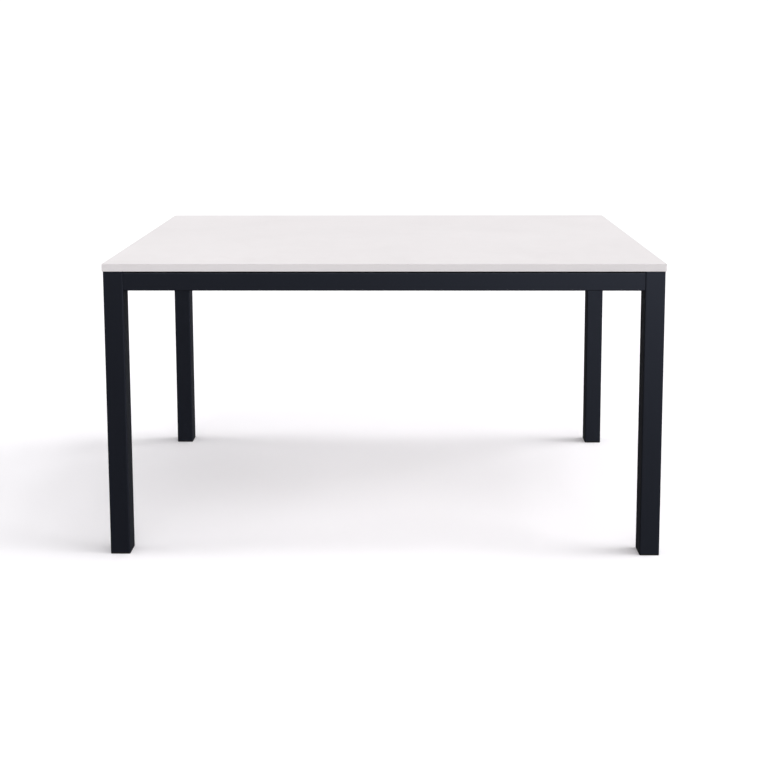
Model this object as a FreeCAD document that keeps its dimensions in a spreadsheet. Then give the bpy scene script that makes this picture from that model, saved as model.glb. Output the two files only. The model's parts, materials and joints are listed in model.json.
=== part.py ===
"""Parsons dining table: a laminated board on a bolted frame of square steel tube.

Millimetres, +Z up, +X along the length and the front towards -Y.
The origin lies on the floor, below the middle of the top.
"""
import FreeCAD, Part
import math
import os

import Sketcher

# Driving sizes: alias, size and what it measures
SIZES = (
    # whole table
    ("table_length", 1400, "length of the top"),
    ("table_depth", 900, "depth of the top"),
    ("table_height", 750, "floor to the face of the top"),
    ("top_overhang", 2, "edge of the top past the legs"),
    # board top
    ("core_thickness", 17.4, "chipboard core"),
    ("face_laminate", 0.8, "laminate on the face"),
    ("backing_laminate", 0.8, "laminate on the underside"),
    ("edge_band_thickness", 2, "edge band"),
    ("edge_band_round", 1, "rounding of the edge band's outer edges"),
    # legs and their plugs
    ("leg_width", 50, "side of the square leg tube"),
    ("leg_wall", 2, "wall of the leg tube"),
    ("leg_corner_radius", 3, "outer corner of the leg tube"),
    ("leg_inner_radius", 1, "inner corner of the leg tube"),
    ("leg_cap_flange", 1.5, "plug flange between leg and board"),
    ("leg_cap_depth", 9, "depth of the upper plug in the leg"),
    ("foot_flange", 4, "plug flange between leg and floor"),
    ("foot_depth", 22, "depth of the foot plug in the leg"),
    ("foot_chamfer", 1, "chamfer round the sole of the foot plug"),
    ("plug_wall", 2.5, "wall of both plugs"),
    ("plug_clearance", 0.15, "gap between plug and tube"),
    # rails
    ("rail_height", 45, "height of the rail tube"),
    ("rail_thickness", 25, "thickness of the rail tube"),
    ("rail_wall", 2, "wall of the rail tube"),
    ("rail_corner_radius", 2, "outer corner of the rail tube"),
    ("rail_inner_radius", 0.8, "inner corner of the rail tube"),
    ("rail_setback", 1, "rail face behind the leg face"),
    ("rail_gap", 4, "gap between rail and board"),
    # corner braces
    ("brace_thickness", 3, "plate of the corner brace"),
    ("brace_height", 38, "height of the corner brace"),
    ("brace_flange", 60, "length of the brace on each rail"),
    ("brace_bend", 3, "inner radius of the brace's bends"),
    ("brace_corner", 6, "rounding of the brace's free corners"),
    ("brace_gap", 4, "web of the brace to the leg's corner"),
    ("brace_near_hole", 17, "bend to the nearer bolt"),
    ("brace_far_hole", 45, "bend to the further bolt"),
    # leg bolts
    ("nut_block_side", 28, "side of the threaded block in the leg"),
    ("nut_block_height", 24, "height of the threaded block"),
    ("leg_bolt_diameter", 8, "leg bolt"),
    ("leg_bolt_length", 35, "leg bolt under its head"),
    ("leg_bolt_head_width", 13, "leg bolt head across its flats"),
    ("leg_bolt_head_height", 5.3, "height of the leg bolt head"),
    ("washer_diameter", 16, "washer under the leg bolt head"),
    ("washer_thickness", 1.6, "thickness of that washer"),
    # bolts and rivet nuts in the rails
    ("rail_bolt_diameter", 6, "bolt of braces and brackets"),
    ("rail_bolt_length", 14, "that bolt under its head"),
    ("rail_bolt_head_diameter", 10.5, "head of that bolt"),
    ("rail_bolt_head_height", 3.3, "height of that head"),
    ("rail_bolt_head_round", 2.4, "rounding of that head"),
    ("rail_bolt_socket_width", 4, "hexagon socket across its flats"),
    ("rail_bolt_socket_depth", 2, "depth of the socket"),
    ("rivet_diameter", 9, "barrel of the rivet nut"),
    ("rivet_length", 14, "rivet nut behind its flange"),
    ("rivet_flange_diameter", 12, "flange of the rivet nut"),
    ("rivet_flange", 0.8, "thickness of that flange"),
    ("rivet_bulge_diameter", 11.5, "set bulge behind the rail wall"),
    ("rivet_bulge_length", 3, "length of that bulge"),
    # soft strips between rails and board
    ("strip_width", 18, "strip across the rail"),
    ("strip_setback", 3, "strip behind the rail face"),
    ("strip_end_gap", 4, "strip to the end of its rail"),
    ("strip_corner", 1.5, "rounding of the strip's corners"),
    # brackets and board screws
    ("bracket_width", 40, "bracket along the rail"),
    ("bracket_thickness", 2.5, "plate of the bracket"),
    ("bracket_drop", 32, "bracket down the rail"),
    ("bracket_reach", 30, "bracket under the board"),
    ("bracket_bend", 2, "inner radius of the bracket's bend"),
    ("bracket_corner", 5, "rounding of the bracket's free corners"),
    ("bracket_bolt_drop", 20, "underside of the board to the bracket bolt"),
    ("bracket_screw_reach", 18, "back of the bracket to its screws"),
    ("bracket_screw_spacing", 22, "between the two screws of a bracket"),
    ("board_screw_diameter", 4.5, "board screw"),
    ("board_screw_length", 16, "board screw under its head"),
    ("board_screw_point", 4, "point of the board screw"),
    ("board_screw_head_diameter", 8.6, "head of the board screw"),
    ("board_screw_head_height", 2.8, "height of that head"),
    ("board_screw_head_round", 2, "rounding of that head"),
    ("board_screw_recess_length", 4.6, "cross recess, end to end"),
    ("board_screw_recess_width", 1, "slot of the cross recess"),
    ("board_screw_recess_depth", 1.6, "depth of the cross recess"),
    # fits and cuts
    ("bolt_clearance", 0.3, "bolt to its clearance hole, each side"),
    ("thread_clearance", 0.05, "thread to its mating thread, each side"),
    ("rivet_clearance", 0.1, "rivet nut to its hole, each side"),
    ("cut_overrun", 1, "cut past the face that it opens"),
)

# Places of brackets along a rail, as shares of the rail's length
LONG_BRACKET_SHARES = {"left": -1 / 3, "middle": 0, "right": 1 / 3}
SHORT_BRACKET_SHARES = {"": 0}

# Levels and distances that follow from the sizes
HALF_LENGTH = "(Sizes.table_length / 2)"
HALF_DEPTH = "(Sizes.table_depth / 2)"
TOP_THICKNESS = "(Sizes.core_thickness + Sizes.face_laminate + Sizes.backing_laminate)"
BOARD_UNDERSIDE = f"(Sizes.table_height - {TOP_THICKNESS})"
LEG_TOP = f"({BOARD_UNDERSIDE} - Sizes.leg_cap_flange)"
RAIL_TOP = f"({BOARD_UNDERSIDE} - Sizes.rail_gap)"
RAIL_MIDDLE = f"({RAIL_TOP} - Sizes.rail_height / 2)"
LEG_INSIDE = "(Sizes.leg_width - Sizes.leg_wall)"
RAIL_INSET = "(Sizes.top_overhang + Sizes.rail_setback)"
LEG_INSET = "(Sizes.top_overhang + Sizes.leg_width)"

# In a corner's own frame, with the leg's outer corner at its origin and the rails along both axes
RAIL_BACK = "(Sizes.rail_setback + Sizes.rail_thickness)"
BRACE_SEAT = f"({RAIL_BACK} + Sizes.rivet_flange)"
BRACE_FACE = f"({BRACE_SEAT} + Sizes.brace_thickness)"
WEB_SUM = (
    "(2 * Sizes.leg_width - (2 - sqrt(2)) * Sizes.leg_corner_radius + sqrt(2) * Sizes.brace_gap)"
)
WEB_FACE_SUM = f"({WEB_SUM} + sqrt(2) * Sizes.brace_thickness)"
BRACE_BEND_AT = f"({WEB_SUM} - {BRACE_SEAT})"
BRACE_END = f"({BRACE_BEND_AT} + Sizes.brace_flange)"
BRACE_HOLES = (f"({BRACE_BEND_AT} + Sizes.brace_near_hole)", f"({BRACE_BEND_AT} + Sizes.brace_far_hole)")
WASHER_SEAT = f"({WEB_FACE_SUM} / 2)"
LEG_BOLT_SEAT = f"({WASHER_SEAT} + Sizes.washer_thickness / sqrt(2))"
LEG_BOLT_HOLE = f"(({WEB_FACE_SUM} - Sizes.leg_width) / sqrt(2) + Sizes.cut_overrun)"

# In a rail's own frame, with its outer face at y = 0 and its middle at x = 0
BRACKET_BACK = "(Sizes.rail_thickness + Sizes.rivet_flange)"
BRACKET_FACE = f"({BRACKET_BACK} + Sizes.bracket_thickness)"
BRACKET_BOLT_LEVEL = f"({BOARD_UNDERSIDE} - Sizes.bracket_bolt_drop)"
BRACKET_LOWER_FACE = f"({BOARD_UNDERSIDE} - Sizes.bracket_thickness)"
BOARD_SCREW_LINE = f"({BRACKET_BACK} + Sizes.bracket_screw_reach)"

# Four sides and four corners, each a quarter turn on from the one before
QUARTER_TURN = 90
OUTWARD = ((0, -1), (1, 0), (0, 1), (-1, 0))
ALONG = ((1, 0), (0, 1), (-1, 0), (0, -1))
CORNER_SIGNS = ((-1, -1), (1, -1), (1, 1), (-1, 1))
CORNER_NAMES = ("front_left", "front_right", "back_right", "back_left")
SIDE_NAMES = ("front", "right", "back", "left")

# Sketch points of a line, an arc or a circle, and the sketch's own origin
START, END, CENTRE = range(1, 4)
ORIGIN_POINT = (-1, 1)
FULL_TURN = 360
HEXAGON_SIDES = 6
FLATNESS = 1e-6

UP = FreeCAD.Vector(0, 0, 1)
UPRIGHT = FreeCAD.Rotation()
TOWARDS_X = FreeCAD.Rotation(FreeCAD.Vector(0, 1, 0), QUARTER_TURN)
TOWARDS_Y = FreeCAD.Rotation(FreeCAD.Vector(1, 0, 0), -QUARTER_TURN)
TOWARDS_FLOOR = FreeCAD.Rotation(FreeCAD.Vector(1, 0, 0), 2 * QUARTER_TURN)
TOWARDS_MIDDLE = FreeCAD.Rotation(FreeCAD.Vector(-1, 1, 0), QUARTER_TURN)

doc = FreeCAD.newDocument("ParsonsTable")
nodes = []


def make_sheet():
    """Writes the driving sizes into the spreadsheet."""
    sheet = doc.addObject("Spreadsheet::Sheet", "Sizes")
    for row, (alias, size, meaning) in enumerate(SIZES, 1):
        sheet.set(f"A{row}", meaning)
        sheet.set(f"B{row}", str(size))
        sheet.setAlias(f"B{row}", alias)
    doc.recompute()
    return sheet


def value(expression):
    """Works out an expression of the sheet."""
    return float(sizes.evalExpression(expression))


def is_long(side):
    """The front and back run along the length of the table."""
    return side % 2 == 0


def half_run(side):
    """Half of the top's edge on that side."""
    return HALF_LENGTH if is_long(side) else HALF_DEPTH


def half_across(side):
    """Middle of the table to the top's edge on that side."""
    return HALF_DEPTH if is_long(side) else HALF_LENGTH


def rail_length(side):
    """Clear distance between the two legs on that side."""
    return f"(2 * ({half_run(side)} - {LEG_INSET}))"


def place(piece, rotation, x, y, z="0"):
    """Turns a piece and ties its place to the sheet."""
    piece.Placement = FreeCAD.Placement(FreeCAD.Vector(), rotation)
    for axis, expression in zip("xyz", (x, y, z)):
        piece.setExpression(f"Placement.Base.{axis}", expression)


def place_at_corner(piece, corner):
    """Puts a piece that is drawn in a corner's frame at one of the four corners."""
    sign_x, sign_y = CORNER_SIGNS[corner]
    place(
        piece,
        FreeCAD.Rotation(UP, corner * QUARTER_TURN),
        f"{sign_x} * ({HALF_LENGTH} - Sizes.top_overhang)",
        f"{sign_y} * ({HALF_DEPTH} - Sizes.top_overhang)",
    )


def place_on_side(piece, side, inset, along="0"):
    """Puts a piece that is drawn in a side's frame on one of the four sides."""
    out_x, out_y = OUTWARD[side]
    along_x, along_y = ALONG[side]
    distance = f"({half_across(side)} - {inset})"
    place(
        piece,
        FreeCAD.Rotation(UP, side * QUARTER_TURN),
        f"{out_x} * {distance} + {along_x} * {along}",
        f"{out_y} * {distance} + {along_y} * {along}",
    )


def keep(piece):
    """Counts a finished piece among the nodes that are written."""
    nodes.append(piece)


def new_body(name):
    """Starts a body."""
    return doc.addObject("PartDesign::Body", name)


def origin_plane(body, role):
    """Finds one of the body's own origin planes."""
    return next(feature for feature in body.Origin.OriginFeatures if feature.Role == role)


def new_sketch(body, name, plane, shift="0"):
    """Starts a sketch on one of the body's origin planes, shifted along the plane's normal."""
    sketch = body.newObject("Sketcher::SketchObject", f"{body.Name}_{name}")
    sketch.AttachmentSupport = (origin_plane(body, plane), [""])
    sketch.MapMode = "FlatFace"
    sketch.setExpression("AttachmentOffset.Base.z", shift)
    return sketch


def tie(sketch, expression, kind, *where):
    """Adds a constraint whose size is an expression of the sheet."""
    index = sketch.addConstraint(Sketcher.Constraint(kind, *where, value(expression)))
    sketch.setExpression(f"Constraints[{index}]", expression)


def draw_polygon(sketch, corners):
    """Draws a closed outline through corners given as expressions."""
    points = [FreeCAD.Vector(value(x), value(y), 0) for x, y in corners]
    lines = [
        sketch.addGeometry(Part.LineSegment(point, after), False)
        for point, after in zip(points, points[1:] + points[:1])
    ]
    for line, after in zip(lines, lines[1:] + lines[:1]):
        sketch.addConstraint(Sketcher.Constraint("Coincident", line, END, after, START))
    for line, (x, y) in zip(lines, corners):
        tie(sketch, x, "DistanceX", *ORIGIN_POINT, line, START)
        tie(sketch, y, "DistanceY", *ORIGIN_POINT, line, START)


def draw_rounded_box(sketch, low_x, low_y, high_x, high_y, radius):
    """Draws a rectangle with four equal round corners."""
    x0, y0, x1, y1, r = (value(size) for size in (low_x, low_y, high_x, high_y, radius))
    centres = ((x1 - r, y0 + r), (x1 - r, y1 - r), (x0 + r, y1 - r), (x0 + r, y0 + r))
    arcs = []
    for quarter, (x, y) in enumerate(centres):
        circle = Part.Circle(FreeCAD.Vector(x, y, 0), UP, r)
        begin, finish = (math.radians((quarter + step) * QUARTER_TURN) for step in (-1, 0))
        arcs.append(sketch.addGeometry(Part.ArcOfCircle(circle, begin, finish), False))
    sides = []
    for arc, before in zip(arcs, arcs[-1:] + arcs[:-1]):
        line = Part.LineSegment(sketch.getPoint(before, END), sketch.getPoint(arc, START))
        sides.append(sketch.addGeometry(line, False))
    for number, (side, arc) in enumerate(zip(sides, arcs)):
        sketch.addConstraint(Sketcher.Constraint("Tangent", side, END, arc, START))
        sketch.addConstraint(Sketcher.Constraint("Tangent", arc, END, sides[(number + 1) % len(sides)], START))
        sketch.addConstraint(Sketcher.Constraint("Vertical" if number % 2 else "Horizontal", side))
    for arc in arcs[1:]:
        sketch.addConstraint(Sketcher.Constraint("Equal", arcs[0], arc))
    tie(sketch, radius, "Radius", arcs[0])
    for side, level, kind in zip(sides, (low_y, high_x, high_y, low_x), ("DistanceY", "DistanceX") * 2):
        tie(sketch, level, kind, *ORIGIN_POINT, side, START)


def draw_inset_box(sketch, low_x, low_y, high_x, high_y, inset, radius):
    """Draws a rounded rectangle, set in by the same distance on each side."""
    draw_rounded_box(
        sketch,
        f"({low_x} + {inset})",
        f"({low_y} + {inset})",
        f"({high_x} - {inset})",
        f"({high_y} - {inset})",
        radius,
    )


def draw_circle(sketch, x, y, diameter):
    """Draws a circle whose centre and diameter are expressions."""
    centre = FreeCAD.Vector(value(x), value(y), 0)
    circle = sketch.addGeometry(Part.Circle(centre, UP, value(diameter) / 2), False)
    tie(sketch, x, "DistanceX", *ORIGIN_POINT, circle, CENTRE)
    tie(sketch, y, "DistanceY", *ORIGIN_POINT, circle, CENTRE)
    tie(sketch, diameter, "Diameter", circle)


def draw_hexagon(sketch, width):
    """Draws a hexagon about the origin, with its width across the flats."""
    steps = [f"{number * FULL_TURN / HEXAGON_SIDES} deg" for number in range(HEXAGON_SIDES)]
    draw_polygon(sketch, [(f"({width} / sqrt(3) * cos({step}))", f"({width} / sqrt(3) * sin({step}))")
                          for step in steps])


def pad(body, sketch, length, symmetric=False, downwards=False):
    """Raises a sketch into a solid."""
    feature = body.newObject("PartDesign::Pad", f"{sketch.Name}_pad")
    feature.Profile = sketch
    feature.setExpression("Length", length)
    feature.SideType = "Symmetric" if symmetric else "One side"
    feature.Reversed = downwards
    doc.recompute()
    return feature


def pocket(body, sketch, depth, symmetric=True):
    """Cuts a sketch into the body and makes sure that something was cut."""
    before = body.Shape.Volume
    feature = body.newObject("PartDesign::Pocket", f"{sketch.Name}_pocket")
    feature.Profile = sketch
    feature.setExpression("Length", depth)
    feature.SideType = "Symmetric" if symmetric else "One side"
    doc.recompute()
    if body.Shape.Volume >= before:
        raise RuntimeError(f"{feature.Name} cuts nothing")
    return feature


def revolve(body, sketch):
    """Turns a sketch on the XZ plane about the upright axis."""
    feature = body.newObject("PartDesign::Revolution", f"{sketch.Name}_turn")
    feature.Profile = sketch
    feature.ReferenceAxis = (sketch, ["V_Axis"])
    feature.Angle = FULL_TURN
    doc.recompute()
    return feature


def dress(body, kind, base, chosen, size_name, size):
    """Rounds or chamfers the edges of a feature that the test chooses."""
    names = [f"Edge{number}" for number, edge in enumerate(base.Shape.Edges, 1) if chosen(edge.BoundBox)]
    feature = body.newObject(f"PartDesign::{kind}", f"{base.Name}_{kind}")
    feature.Base = (base, names)
    feature.setExpression(size_name, size)
    doc.recompute()
    return feature


def upright_at(x, y):
    """Chooses the upright edge at a place in plan."""
    def chosen(box):
        return (abs(box.XMin - x) + abs(box.XMax - x) + abs(box.YMin - y) + abs(box.YMax - y)) < FLATNESS
    return chosen


def lengthwise_at(y, z):
    """Chooses the edge along X at a place in the section."""
    def chosen(box):
        return (abs(box.YMin - y) + abs(box.YMax - y) + abs(box.ZMin - z) + abs(box.ZMax - z)) < FLATNESS
    return chosen


def on_level(z):
    """Chooses the edges that lie at one height."""
    def chosen(box):
        return abs(box.ZMin - z) + abs(box.ZMax - z) < FLATNESS
    return chosen


def drill_to_leg(body, clearance):
    """Drills level with the rail's middle, from the middle of the leg out through the brace's web."""
    hole = body.newObject("PartDesign::SubtractiveCylinder", f"{body.Name}_leg_bolt_hole")
    hole.AttachmentSupport = (origin_plane(body, "XY_Plane"), [""])
    hole.MapMode = "FlatFace"
    hole.AttachmentOffset = FreeCAD.Placement(FreeCAD.Vector(), TOWARDS_MIDDLE)
    hole.setExpression("AttachmentOffset.Base.x", "Sizes.leg_width / 2")
    hole.setExpression("AttachmentOffset.Base.y", "Sizes.leg_width / 2")
    hole.setExpression("AttachmentOffset.Base.z", RAIL_MIDDLE)
    hole.setExpression("Radius", f"Sizes.leg_bolt_diameter / 2 + {clearance}")
    hole.setExpression("Height", LEG_BOLT_HOLE)
    doc.recompute()


def make_leg(corner):
    """Square tube from the foot plug up to the upper plug."""
    body = new_body(f"leg_{CORNER_NAMES[corner]}")
    section = new_sketch(body, "section", "XY_Plane", "Sizes.foot_flange")
    outline = ("0", "0", "Sizes.leg_width", "Sizes.leg_width")
    draw_rounded_box(section, *outline, "Sizes.leg_corner_radius")
    draw_inset_box(section, *outline, "Sizes.leg_wall", "Sizes.leg_inner_radius")
    pad(body, section, f"{LEG_TOP} - Sizes.foot_flange")
    drill_to_leg(body, "Sizes.bolt_clearance")
    place_at_corner(body, corner)
    keep(body)


def make_plug(name, corner, seam, flange, depth, is_foot):
    """Plug that closes one end of a leg: a flange of the leg's outline and a hollow skirt inside the tube."""
    body = new_body(f"{name}_{CORNER_NAMES[corner]}")
    outline = ("0", "0", "Sizes.leg_width", "Sizes.leg_width")
    plate = new_sketch(body, "plate", "XY_Plane", seam)
    draw_rounded_box(plate, *outline, "Sizes.leg_corner_radius")
    disc = pad(body, plate, flange, downwards=is_foot)
    if is_foot:
        dress(body, "Chamfer", disc, on_level(0), "Size", "Sizes.foot_chamfer")
    skirt = new_sketch(body, "skirt", "XY_Plane", seam)
    inset = "(Sizes.leg_wall + Sizes.plug_clearance)"
    draw_inset_box(skirt, *outline, inset, "Sizes.leg_inner_radius")
    draw_inset_box(skirt, *outline, f"({inset} + Sizes.plug_wall)", "Sizes.leg_inner_radius")
    pad(body, skirt, depth, downwards=not is_foot)
    place_at_corner(body, corner)
    keep(body)


def make_nut_block(corner):
    """Threaded block in the inner corner of the leg, with a flat face square to the bolt."""
    body = new_body(f"leg_nut_block_{CORNER_NAMES[corner]}")
    plan = new_sketch(body, "plan", "XY_Plane", RAIL_MIDDLE)
    tip = f"({LEG_INSIDE} - Sizes.leg_inner_radius)"
    far = f"({LEG_INSIDE} - Sizes.nut_block_side)"
    draw_polygon(plan, [(far, LEG_INSIDE), (LEG_INSIDE, far), (LEG_INSIDE, tip), (tip, LEG_INSIDE)])
    pad(body, plan, "Sizes.nut_block_height", symmetric=True)
    drill_to_leg(body, "Sizes.thread_clearance")
    place_at_corner(body, corner)
    keep(body)


def make_brace(corner):
    """Pressed plate across the corner, with a flange on each rail and a web that pulls the leg in."""
    body = new_body(f"corner_brace_{CORNER_NAMES[corner]}")
    plan = new_sketch(body, "plan", "XY_Plane", RAIL_MIDDLE)
    inner_bend = f"({WEB_FACE_SUM} - {BRACE_FACE})"
    draw_polygon(plan, [
        (BRACE_END, BRACE_SEAT),
        (BRACE_END, BRACE_FACE),
        (inner_bend, BRACE_FACE),
        (BRACE_FACE, inner_bend),
        (BRACE_FACE, BRACE_END),
        (BRACE_SEAT, BRACE_END),
        (BRACE_SEAT, BRACE_BEND_AT),
        (BRACE_BEND_AT, BRACE_SEAT),
    ])
    plate = pad(body, plan, "Sizes.brace_height", symmetric=True)
    bends = (
        (inner_bend, BRACE_FACE, "Sizes.brace_bend"),
        (BRACE_FACE, inner_bend, "Sizes.brace_bend"),
        (BRACE_SEAT, BRACE_BEND_AT, "Sizes.brace_bend + Sizes.brace_thickness"),
        (BRACE_BEND_AT, BRACE_SEAT, "Sizes.brace_bend + Sizes.brace_thickness"),
    )
    for x, y, radius in bends:
        plate = dress(body, "Fillet", plate, upright_at(value(x), value(y)), "Radius", radius)
    end = value(BRACE_END)

    def is_free_corner(box):
        on_first_end = abs(box.XMin - end) + abs(box.XMax - end) < FLATNESS
        on_second_end = abs(box.YMin - end) + abs(box.YMax - end) < FLATNESS
        return box.ZLength < FLATNESS and (on_first_end or on_second_end)

    dress(body, "Fillet", plate, is_free_corner, "Radius", "Sizes.brace_corner")
    middle_of_plate = f"({BRACE_SEAT} + Sizes.brace_thickness / 2)"
    hole = "Sizes.rail_bolt_diameter + 2 * Sizes.bolt_clearance"
    through = "Sizes.brace_thickness + 2 * Sizes.cut_overrun"
    on_first = new_sketch(body, "first_holes", "XZ_Plane", f"-{middle_of_plate}")
    on_second = new_sketch(body, "second_holes", "YZ_Plane", middle_of_plate)
    for sketch in (on_first, on_second):
        for distance in BRACE_HOLES:
            draw_circle(sketch, distance, RAIL_MIDDLE, hole)
        pocket(body, sketch, through)
    drill_to_leg(body, "Sizes.bolt_clearance")
    place_at_corner(body, corner)
    keep(body)


def bracket_shares(side):
    """Places of the brackets on a side."""
    return LONG_BRACKET_SHARES if is_long(side) else SHORT_BRACKET_SHARES


def make_rail(side):
    """Rectangular tube between two legs, with holes for the rivet nuts in its inner wall."""
    body = new_body(f"rail_{SIDE_NAMES[side]}")
    section = new_sketch(body, "section", "YZ_Plane")
    outline = ("0", f"({RAIL_TOP} - Sizes.rail_height)", "Sizes.rail_thickness", RAIL_TOP)
    draw_rounded_box(section, *outline, "Sizes.rail_corner_radius")
    draw_inset_box(section, *outline, "Sizes.rail_wall", "Sizes.rail_inner_radius")
    pad(body, section, rail_length(side), symmetric=True)
    holes = new_sketch(body, "rivet_holes", "XZ_Plane", "-(Sizes.rail_thickness - Sizes.rail_wall / 2)")
    hole = "Sizes.rivet_diameter + 2 * Sizes.rivet_clearance"
    for sign in (-1, 1):
        for distance in BRACE_HOLES:
            x = f"{sign} * ({half_run(side)} - Sizes.top_overhang - {distance})"
            draw_circle(holes, x, RAIL_MIDDLE, hole)
    for share in bracket_shares(side).values():
        draw_circle(holes, f"{share} * {rail_length(side)}", BRACKET_BOLT_LEVEL, hole)
    pocket(body, holes, "Sizes.rail_wall + 2 * Sizes.cut_overrun")
    place_on_side(body, side, RAIL_INSET)
    keep(body)


def make_strip(side):
    """Soft strip on top of a rail, on which the board lies."""
    body = new_body(f"rail_strip_{SIDE_NAMES[side]}")
    plan = new_sketch(body, "plan", "XY_Plane", RAIL_TOP)
    end = f"({rail_length(side)} / 2 - Sizes.strip_end_gap)"
    back = "(Sizes.strip_setback + Sizes.strip_width)"
    draw_rounded_box(plan, f"-{end}", "Sizes.strip_setback", end, back, "Sizes.strip_corner")
    pad(body, plan, "Sizes.rail_gap")
    place_on_side(body, side, RAIL_INSET)
    keep(body)


def make_bracket(side, end, share):
    """Angle on a rail's inner face that holds the board down."""
    body = new_body("_".join(word for word in ("top_bracket", SIDE_NAMES[side], end) if word))
    section = new_sketch(body, "section", "YZ_Plane")
    draw_polygon(section, [
        (BRACKET_BACK, f"({BOARD_UNDERSIDE} - Sizes.bracket_drop)"),
        (BRACKET_FACE, f"({BOARD_UNDERSIDE} - Sizes.bracket_drop)"),
        (BRACKET_FACE, BRACKET_LOWER_FACE),
        (f"({BRACKET_BACK} + Sizes.bracket_reach)", BRACKET_LOWER_FACE),
        (f"({BRACKET_BACK} + Sizes.bracket_reach)", BOARD_UNDERSIDE),
        (BRACKET_BACK, BOARD_UNDERSIDE),
    ])
    angle = pad(body, section, "Sizes.bracket_width", symmetric=True)
    bends = (
        (BRACKET_FACE, BRACKET_LOWER_FACE, "Sizes.bracket_bend"),
        (BRACKET_BACK, BOARD_UNDERSIDE, "Sizes.bracket_bend + Sizes.bracket_thickness"),
    )
    for y, z, radius in bends:
        angle = dress(body, "Fillet", angle, lengthwise_at(value(y), value(z)), "Radius", radius)
    lower_end = value(f"{BOARD_UNDERSIDE} - Sizes.bracket_drop")
    far_end = value(f"{BRACKET_BACK} + Sizes.bracket_reach")

    def is_free_corner(box):
        on_lower_end = abs(box.ZMin - lower_end) + abs(box.ZMax - lower_end) < FLATNESS
        on_far_end = abs(box.YMin - far_end) + abs(box.YMax - far_end) < FLATNESS
        return box.XLength < FLATNESS and (on_lower_end or on_far_end)

    dress(body, "Fillet", angle, is_free_corner, "Radius", "Sizes.bracket_corner")
    through = "Sizes.bracket_thickness + 2 * Sizes.cut_overrun"
    bolt_hole = new_sketch(body, "bolt_hole", "XZ_Plane", f"-({BRACKET_BACK} + Sizes.bracket_thickness / 2)")
    draw_circle(bolt_hole, "0", BRACKET_BOLT_LEVEL, "Sizes.rail_bolt_diameter + 2 * Sizes.bolt_clearance")
    pocket(body, bolt_hole, through)
    screw_holes = new_sketch(body, "screw_holes", "XY_Plane", f"{BOARD_UNDERSIDE} - Sizes.bracket_thickness / 2")
    for sign in (-1, 1):
        draw_circle(screw_holes, f"{sign} * Sizes.bracket_screw_spacing / 2", BOARD_SCREW_LINE,
                    "Sizes.board_screw_diameter + 2 * Sizes.bolt_clearance")
    pocket(body, screw_holes, through)
    place_on_side(body, side, RAIL_INSET, f"{share} * {rail_length(side)}")
    keep(body)


def make_edge_band(side):
    """Plastic band on one edge of the board. The long bands cover the ends of the short ones."""
    body = new_body(f"edge_band_{SIDE_NAMES[side]}")
    section = new_sketch(body, "section", "YZ_Plane")
    draw_polygon(section, [
        ("0", BOARD_UNDERSIDE),
        ("Sizes.edge_band_thickness", BOARD_UNDERSIDE),
        ("Sizes.edge_band_thickness", "Sizes.table_height"),
        ("0", "Sizes.table_height"),
    ])
    length = f"2 * {half_run(side)}"
    if not is_long(side):
        length = f"2 * ({half_run(side)} - Sizes.edge_band_thickness)"
    strip = pad(body, section, length, symmetric=True)
    end = value(length) / 2

    def is_outer(box):
        on_face = abs(box.YMin) + abs(box.YMax) < FLATNESS
        on_end = abs(abs(box.XMin) - end) + abs(box.XMax - box.XMin) < FLATNESS
        inner = min(abs(box.YMin), abs(box.YMax)) > FLATNESS
        if is_long(side):
            return on_face or (on_end and not inner)
        return on_face and not on_end

    dress(body, "Fillet", strip, is_outer, "Radius", "Sizes.edge_band_round")
    place_on_side(body, side, "0")
    keep(body)


def make_rail_bolt():
    """Button-head bolt with a hexagon socket. Its seat is at z = 0 and its head points up."""
    body = new_body("rail_bolt")
    profile = new_sketch(body, "profile", "XZ_Plane")
    draw_polygon(profile, [
        ("0", "-Sizes.rail_bolt_length"),
        ("Sizes.rail_bolt_diameter / 2", "-Sizes.rail_bolt_length"),
        ("Sizes.rail_bolt_diameter / 2", "0"),
        ("Sizes.rail_bolt_head_diameter / 2", "0"),
        ("Sizes.rail_bolt_head_diameter / 2", "Sizes.rail_bolt_head_height"),
        ("0", "Sizes.rail_bolt_head_height"),
    ])
    turned = revolve(body, profile)
    crown = on_level(value("Sizes.rail_bolt_head_height"))
    dress(body, "Fillet", turned, crown, "Radius", "Sizes.rail_bolt_head_round")
    socket = new_sketch(body, "socket", "XY_Plane", "Sizes.rail_bolt_head_height")
    draw_hexagon(socket, "Sizes.rail_bolt_socket_width")
    pocket(body, socket, "Sizes.rail_bolt_socket_depth", symmetric=False)
    return body


def make_rivet_nut():
    """Rivet nut, set in a rail's wall. Its flange lies on the wall at z = 0."""
    body = new_body("rivet_nut")
    profile = new_sketch(body, "profile", "XZ_Plane")
    bore = "(Sizes.rail_bolt_diameter / 2 + Sizes.thread_clearance)"
    bulge_end = "-(Sizes.rail_wall + Sizes.rivet_bulge_length)"
    draw_polygon(profile, [
        (bore, "-Sizes.rivet_length"),
        ("Sizes.rivet_diameter / 2", "-Sizes.rivet_length"),
        ("Sizes.rivet_diameter / 2", bulge_end),
        ("Sizes.rivet_bulge_diameter / 2", bulge_end),
        ("Sizes.rivet_bulge_diameter / 2", "-Sizes.rail_wall"),
        ("Sizes.rivet_diameter / 2", "-Sizes.rail_wall"),
        ("Sizes.rivet_diameter / 2", "0"),
        ("Sizes.rivet_flange_diameter / 2", "0"),
        ("Sizes.rivet_flange_diameter / 2", "Sizes.rivet_flange"),
        (bore, "Sizes.rivet_flange"),
    ])
    revolve(body, profile)
    return body


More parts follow.
